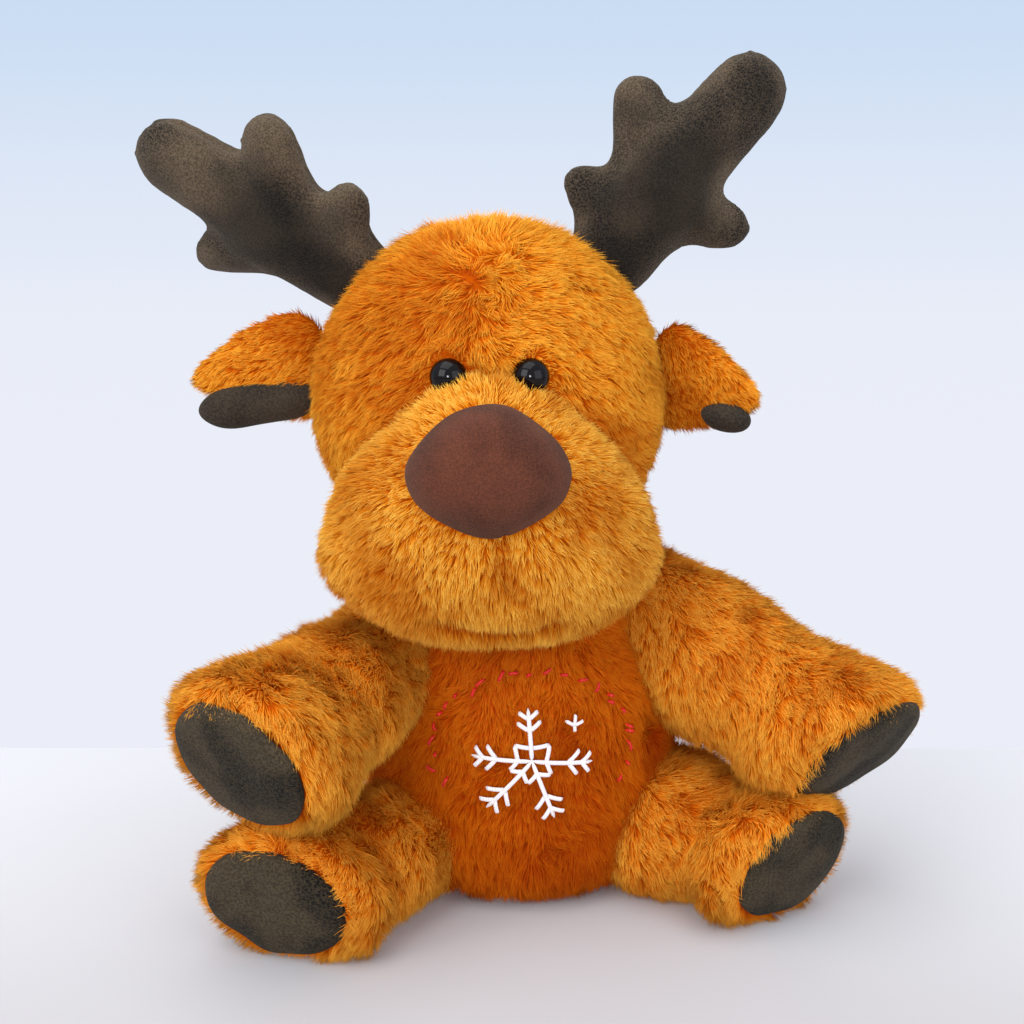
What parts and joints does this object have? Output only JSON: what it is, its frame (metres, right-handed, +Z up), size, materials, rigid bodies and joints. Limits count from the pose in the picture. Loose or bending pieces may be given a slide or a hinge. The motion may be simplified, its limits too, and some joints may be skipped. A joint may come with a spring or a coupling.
{
  "type": "plush reindeer",
  "caption": "Seated stuffed reindeer in soft plush, with velour paws, soles, antlers and nose and button eyes; head, limbs, ears, antlers and tail turn on their seams.",
  "frame": {"origin": "middle of the flat seat under the torso, on the table", "axes": "+Z up, -Y the way the toy faces, +X to its own left"},
  "size_m": [0.2677, 0.188, 0.2915],
  "materials": {
    "plush": "long soft orange-brown pile",
    "velour": "short dark brown pile",
    "nose_cloth": "short chocolate-brown velour",
    "fibre": "white polyester filling",
    "pellets": "plain cloth pouch of pellets",
    "eye": "polished black dome",
    "washer": "moulded locking washer"
  },
  "bodies": {
    "torso": {"torso_cover": "plush", "torso_filling": "fibre", "pellet_pouch": "pellets"},
    "head": {"head_cover": "plush", "head_filling": "fibre", "muzzle_cover": "plush", "muzzle_filling": "fibre", "nose": "nose_cloth", "left_eye": "eye", "left_eye_washer": "washer", "right_eye": "eye", "right_eye_washer": "washer"},
    "left_arm": {"left_arm_cover": "plush", "left_arm_filling": "fibre", "left_paw_pad": "velour"},
    "left_leg": {"left_leg_cover": "plush", "left_leg_filling": "fibre", "left_sole_pad": "velour"},
    "left_ear": {"left_ear_back": "plush", "left_ear_lining": "velour"},
    "left_antler": {"left_antler": "velour"},
    "right_arm": {"right_arm_cover": "plush", "right_arm_filling": "fibre", "right_paw_pad": "velour"},
    "right_leg": {"right_leg_cover": "plush", "right_leg_filling": "fibre", "right_sole_pad": "velour"},
    "right_ear": {"right_ear_back": "plush", "right_ear_lining": "velour"},
    "right_antler": {"right_antler": "velour"},
    "tail": {"tail": "plush"}
  },
  "joints": [
    {"name": "head_nod", "type": "hinge", "parent": "torso", "child": "head", "pos_m": [-0.005, -0.002, 0.11], "axis": [-1, 0, 0], "range_deg": [0, 12], "stiffness_Nm_per_rad": 0.4},
    {"name": "left_arm_swing", "type": "hinge", "parent": "torso", "child": "left_arm", "pos_m": [0.04264, 0.00395, 0.094], "axis": [0, 0, 1], "range_deg": [0, 30]},
    {"name": "right_arm_swing", "type": "hinge", "parent": "torso", "child": "right_arm", "pos_m": [-0.04436, -0.01454, 0.084], "axis": [0, 0, -1], "range_deg": [0, 30]},
    {"name": "left_leg_swing", "type": "hinge", "parent": "torso", "child": "left_leg", "pos_m": [0.04106, -0.00559, 0.02186], "axis": [0, 0, -1], "range_deg": [0, 15]},
    {"name": "right_leg_swing", "type": "hinge", "parent": "torso", "child": "right_leg", "pos_m": [-0.03524, -0.0218, 0.02186], "axis": [0, 0, 1], "range_deg": [0, 15]},
    {"name": "left_ear_fold", "type": "hinge", "parent": "head", "child": "left_ear", "pos_m": [0.04832, -0.005, 0.186], "axis": [-0.1952, 0, 0.9808], "range_deg": [-18, 18], "stiffness_Nm_per_rad": 0.02},
    {"name": "right_ear_fold", "type": "hinge", "parent": "head", "child": "right_ear", "pos_m": [-0.07032, -0.005, 0.186], "axis": [0.1952, 0, 0.9808], "range_deg": [-18, 18], "stiffness_Nm_per_rad": 0.02},
    {"name": "left_antler_flop", "type": "hinge", "parent": "head", "child": "left_antler", "pos_m": [0.02883, 0.001, 0.21939], "axis": [0.7462, 0, -0.6657], "range_deg": [-12, 12], "stiffness_Nm_per_rad": 0.08},
    {"name": "right_antler_flop", "type": "hinge", "parent": "head", "child": "right_antler", "pos_m": [-0.05567, 0.001, 0.21455], "axis": [-0.6661, 0, -0.7459], "range_deg": [-12, 12], "stiffness_Nm_per_rad": 0.08},
    {"name": "tail_wag", "type": "hinge", "parent": "torso", "child": "tail", "pos_m": [-0.00951, 0.04475, 0.034], "axis": [0, 0, 1], "range_deg": [-15, 15], "stiffness_Nm_per_rad": 0.02}
  ]
}
